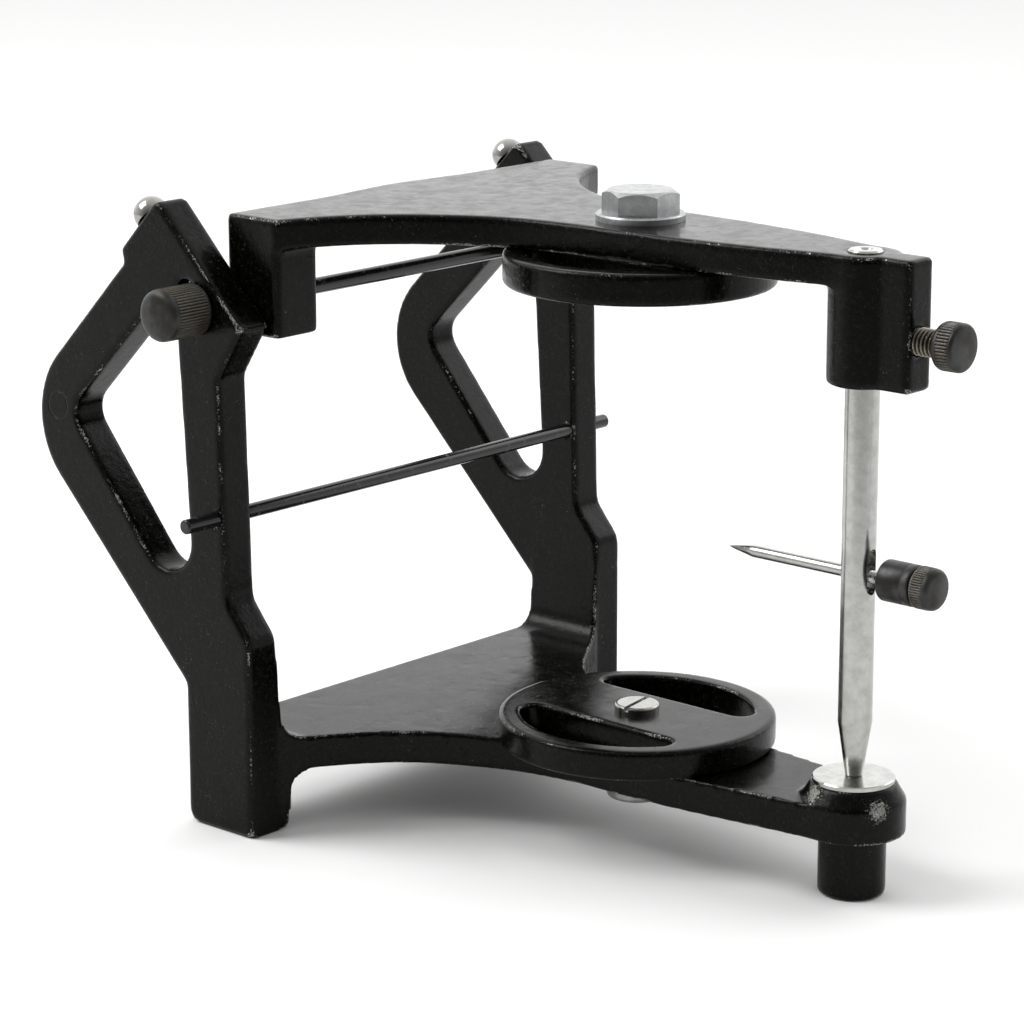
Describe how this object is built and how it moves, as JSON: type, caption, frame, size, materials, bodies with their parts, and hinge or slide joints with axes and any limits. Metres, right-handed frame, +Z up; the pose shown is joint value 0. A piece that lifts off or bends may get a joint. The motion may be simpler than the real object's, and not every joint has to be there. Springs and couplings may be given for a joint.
{
  "type": "dental articulator",
  "caption": "Cast-frame dental articulator: opening upper bow on a sprung condylar axle, plaster plates, incisal pin and pointer.",
  "frame": {"origin": "centre of the front foot's lower face, on the axis of the incisal pin", "axes": "+X to the right side, +Y to the rear where the hinge is, +Z up"},
  "size_m": [0.1238, 0.1736, 0.1191],
  "materials": {
    "black_casting": "glossy black enamel over a cast surface, chipped and worn at the edges",
    "black_rod": "smooth gloss black",
    "black_oxide": "satin black oxide",
    "bare_steel": "satin bare steel",
    "zinc_plate": "zinc plated",
    "nickel_plate": "bright nickel plate",
    "spring_steel": "bright spring wire"
  },
  "bodies": {
    "base": {"lower_frame": "black_casting", "front_foot": "black_casting", "incisal_table": "bare_steel", "lower_mounting_plate": "black_casting", "lower_plate_screw": "nickel_plate", "lower_plate_nut": "zinc_plate", "cross_rod": "black_rod", "spring_screw_left": "nickel_plate", "spring_screw_right": "nickel_plate", "condylar_spring_left": "spring_steel", "condylar_spring_right": "spring_steel"},
    "axle": {"condylar_axle": "black_rod"},
    "left_knob": {"axle_knob_left": "black_oxide"},
    "right_knob": {"axle_knob_right": "black_oxide"},
    "upper_bow": {"upper_frame": "black_casting", "upper_mounting_plate": "black_casting", "plate_bolt": "zinc_plate", "plate_washer": "zinc_plate"},
    "clamp": {"clamp_screw": "black_oxide"},
    "pin": {"incisal_pin": "bare_steel"},
    "pointer": {"pointer_rod": "bare_steel", "pointer_collar": "black_oxide"},
    "pointer_nut": {"pointer_knob": "black_oxide"}
  },
  "joints": [
    {"name": "condylar_slide", "type": "slide", "parent": "base", "child": "axle", "axis": [0, 0.7071, 0.7071], "range_m": [0, 0.0039], "stiffness_N_per_m": 800, "springref_m": -0.006, "deforming": ["condylar_spring_left", "condylar_spring_right"]},
    {"name": "bow_opening", "type": "hinge", "parent": "axle", "child": "upper_bow", "pos_m": [0, 0.109, 0.0974], "axis": [-1, 0, 0], "range_deg": [0, 115]},
    {"name": "left_knob_turn", "type": "hinge", "parent": "axle", "child": "left_knob", "pos_m": [-0.052, 0.109, 0.0974], "axis": [-1, 0, 0], "continuous": true},
    {"name": "right_knob_turn", "type": "hinge", "parent": "axle", "child": "right_knob", "pos_m": [0.052, 0.109, 0.0974], "axis": [1, 0, 0], "continuous": true},
    {"name": "clamp_screw_turn", "type": "hinge", "parent": "upper_bow", "child": "clamp", "pos_m": [0, -0.012, 0.0998], "axis": [0, -1, 0], "continuous": true},
    {"name": "pin_slide", "type": "slide", "parent": "upper_bow", "child": "pin", "axis": [0, 0, 1], "range_m": [0, 0.022]},
    {"name": "pointer_lift", "type": "slide", "parent": "pin", "child": "pointer", "axis": [0, 0, 1], "range_m": [-0.002, 0.0036]},
    {"name": "pointer_knob_turn", "type": "hinge", "parent": "pointer", "child": "pointer_nut", "pos_m": [0, -0.0129, 0.0577], "axis": [0, -1, 0], "continuous": true}
  ]
}
